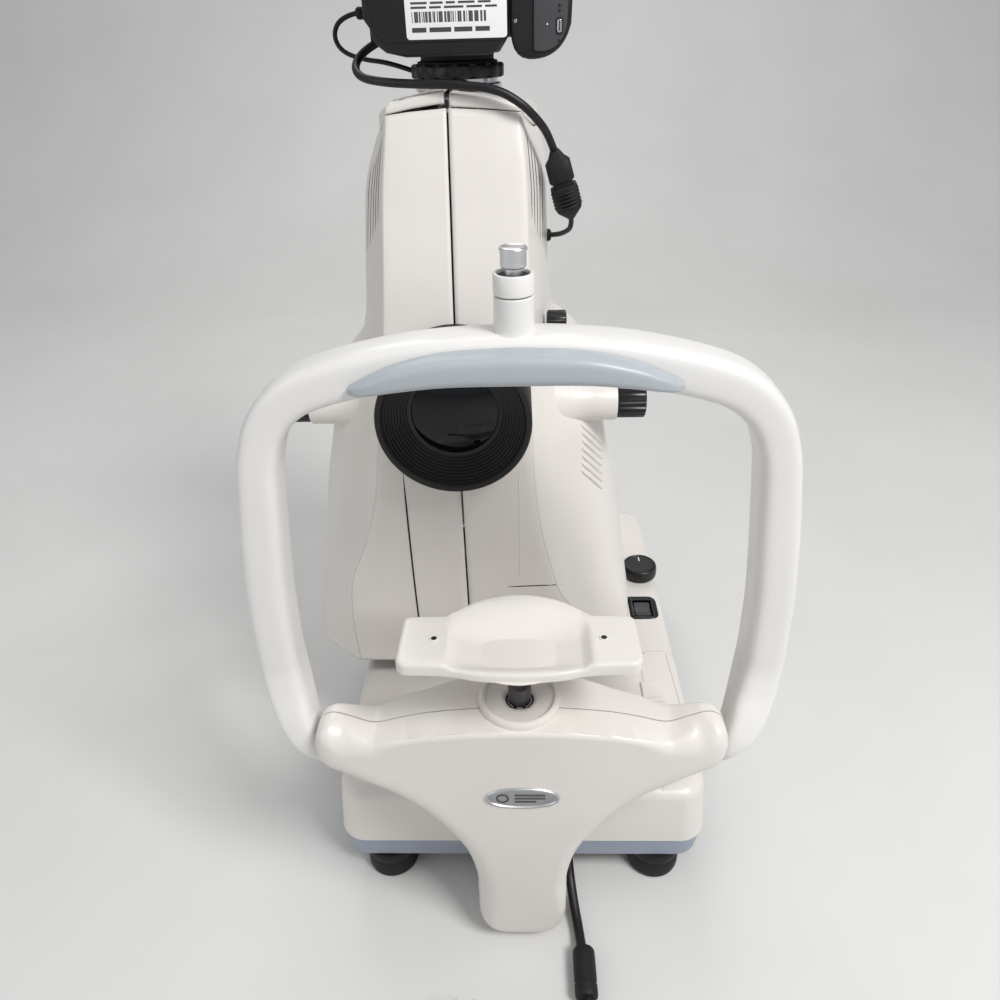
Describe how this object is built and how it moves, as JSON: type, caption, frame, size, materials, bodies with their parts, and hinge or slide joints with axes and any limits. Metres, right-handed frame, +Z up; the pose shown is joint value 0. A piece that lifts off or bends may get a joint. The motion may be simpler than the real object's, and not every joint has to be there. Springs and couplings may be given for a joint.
{
  "type": "fundus camera",
  "caption": "Table-top eye-fundus camera: chinrest and headrest arch in front of a stage-borne optical head, with a joystick, monitor and still camera body on top.",
  "frame": {"origin": "bottom centre of the bounding box, on the surface that the feet stand on", "axes": "+Z up, +Y away from the patient, +X to the right as the patient looks at it"},
  "size_m": [0.346, 0.7065, 0.656],
  "materials": {
    "ivory": "satin",
    "blue_grey": "satin",
    "pad": "soft satin",
    "black_plastic": "satin",
    "rubber": "matte",
    "steel": "brushed",
    "bright": "polished",
    "alloy": "satin",
    "glass": "polished",
    "board": "satin",
    "zinc": "satin",
    "cable": "matte",
    "screen": "gloss",
    "badge": "brushed"
  },
  "bodies": {
    "base": {"base_cover": "ivory", "base_skirt": "blue_grey", "base_plate": "zinc", "feet": "rubber", "base_electronics": "board", "power_inlet": "black_plastic", "stage_rails": "steel", "plate_screws": "steel", "housing_front": "ivory", "housing_rear": "ivory", "chinrest_bracket": "alloy", "chinrest_motor": "zinc", "shaft_collar": "ivory", "name_badge": "badge", "headrest_arch": "ivory", "forehead_pad": "pad", "mains_lead": "cable", "lead_fittings": "cable", "lead_coil": "cable"},
    "lock_knob": {"stage_lock_knob": "black_plastic"},
    "rocker": {"chinrest_rocker": "black_plastic"},
    "flap": {"strip_flap": "ivory"},
    "carriage": {"cross_carriage": "alloy"},
    "stage": {"stage_deck": "alloy", "lift_guides": "steel", "lift_motor": "zinc", "console_cover": "ivory"},
    "lift_screw": {"lift_screw": "steel"},
    "gimbal": {"joystick_gimbal": "alloy"},
    "joystick": {"joystick_stick": "black_plastic"},
    "height_ring": {"height_ring": "rubber"},
    "capture_button": {"capture_button": "black_plastic"},
    "chinrest": {"chin_shaft": "bright", "chin_cup": "ivory"},
    "chin_screw": {"chin_screw": "steel"},
    "lamp_sleeve": {"lamp_sleeve": "ivory"},
    "lamp_knob": {"lamp_knob": "bright"},
    "head": {"head_cover_left": "ivory", "head_cover_right": "ivory", "side_cover_left": "ivory", "side_cover_right": "ivory", "top_caps": "ivory", "optical_bench": "alloy", "lens_barrel": "black_plastic", "objective_lens": "glass", "fixed_optics": "glass", "camera_port": "black_plastic", "camera_body": "black_plastic", "camera_lead": "cable", "lead_joint": "cable", "joint_tail": "cable", "trigger_lead": "cable", "camera_plugs": "cable"},
    "focus_knobs": {"focus_knobs": "black_plastic"},
    "focus_carrier": {"focus_lens_carrier": "alloy"},
    "aperture_knob": {"aperture_knob": "black_plastic"},
    "monitor": {"monitor": "screen"},
    "battery_door": {"battery_door": "black_plastic"},
    "mode_dial": {"mode_dial": "black_plastic"},
    "shutter_release": {"shutter_release": "black_plastic"}
  },
  "joints": [
    {"name": "stage_y_slide", "type": "slide", "parent": "base", "child": "carriage", "axis": [0, -1, 0], "range_m": [-0.005, 0.04]},
    {"name": "stage_x_slide", "type": "slide", "parent": "carriage", "child": "stage", "axis": [1, 0, 0], "range_m": [-0.005, 0.085]},
    {"name": "head_lift", "type": "slide", "parent": "stage", "child": "head", "axis": [0, 0, 1], "range_m": [-0.01, 0.02]},
    {"name": "lift_screw_turn", "type": "hinge", "parent": "stage", "child": "lift_screw", "pos_m": [-0.035, 0.045, 0.2], "axis": [0, 0, 1], "range_deg": [-720, 1440]},
    {"name": "joystick_tilt_forward", "type": "hinge", "parent": "stage", "child": "gimbal", "pos_m": [-0.035, 0.215, 0.134], "axis": [1, 0, 0], "range_deg": [-12, 12]},
    {"name": "joystick_tilt_side", "type": "hinge", "parent": "gimbal", "child": "joystick", "pos_m": [-0.035, 0.215, 0.134], "axis": [0, 1, 0], "range_deg": [-12, 12]},
    {"name": "height_ring_turn", "type": "hinge", "parent": "joystick", "child": "height_ring", "pos_m": [-0.035, 0.215, 0.16], "axis": [0, 0, 1], "range_deg": [-180, 360]},
    {"name": "capture_button_press", "type": "slide", "parent": "joystick", "child": "capture_button", "axis": [0, 0, -1], "range_m": [0, 0.002], "stiffness_N_per_m": 900},
    {"name": "stage_lock_turn", "type": "hinge", "parent": "base", "child": "lock_knob", "pos_m": [0.129, 0.055, 0.11], "axis": [0, 0, 1], "range_deg": [0, 120]},
    {"name": "chinrest_rocker_press", "type": "hinge", "parent": "base", "child": "rocker", "pos_m": [0.125, -0.006, 0.105], "axis": [1, 0, 0], "range_deg": [-8, 8], "stiffness_Nm_per_rad": 0.4},
    {"name": "flap_open", "type": "hinge", "parent": "base", "child": "flap", "pos_m": [0.127, -0.11, 0.1111], "axis": [0, 1, 0], "range_deg": [0, 90]},
    {"name": "chinrest_lift", "type": "slide", "parent": "base", "child": "chinrest", "axis": [0, 0, 1], "range_m": [-0.02, 0.04]},
    {"name": "chin_screw_turn", "type": "hinge", "parent": "base", "child": "chin_screw", "pos_m": [0.005, -0.231, 0.15], "axis": [0, 0, 1], "range_deg": [-2400, 4800]},
    {"name": "lamp_sleeve_turn", "type": "hinge", "parent": "base", "child": "lamp_sleeve", "pos_m": [0.005, -0.21, 0.492], "axis": [0, 0, 1], "continuous": true},
    {"name": "lamp_knob_turn", "type": "hinge", "parent": "lamp_sleeve", "child": "lamp_knob", "pos_m": [0.005, -0.21, 0.5], "axis": [0, 0, 1], "continuous": true},
    {"name": "focus_turn", "type": "hinge", "parent": "head", "child": "focus_knobs", "pos_m": [-0.035, -0.06, 0.362], "axis": [1, 0, 0], "range_deg": [-90, 90]},
    {"name": "focus_lens_slide", "type": "slide", "parent": "head", "child": "focus_carrier", "axis": [0, 1, 0], "range_m": [-0.013, 0.013]},
    {"name": "aperture_knob_turn", "type": "hinge", "parent": "head", "child": "aperture_knob", "pos_m": [0.038, -0.045, 0.418], "axis": [1, 0, 0], "range_deg": [0, 90]},
    {"name": "monitor_tilt", "type": "hinge", "parent": "head", "child": "monitor", "pos_m": [-0.035, 0.132, 0.345], "axis": [1, 0, 0], "range_deg": [0, 25]},
    {"name": "battery_door_open", "type": "hinge", "parent": "head", "child": "battery_door", "pos_m": [0.038, -0.0471, 0.603], "axis": [0, 0, 1], "range_deg": [0, 100]},
    {"name": "mode_dial_turn", "type": "hinge", "parent": "head", "child": "mode_dial", "pos_m": [0.015, 0.0536, 0.632], "axis": [0, 1, 0], "continuous": true},
    {"name": "shutter_release_press", "type": "slide", "parent": "head", "child": "shutter_release", "axis": [0, -1, 0], "range_m": [0, 0.0015], "stiffness_N_per_m": 800}
  ],
  "couplings": [
    {"joint": "lift_screw_turn", "follows": "head_lift", "rad_per_m": 1256.6},
    {"joint": "height_ring_turn", "follows": "head_lift", "rad_per_m": 314.16},
    {"joint": "chin_screw_turn", "follows": "chinrest_lift", "rad_per_m": 2094.4},
    {"joint": "focus_turn", "follows": "focus_lens_slide", "rad_per_m": -120.48}
  ]
}
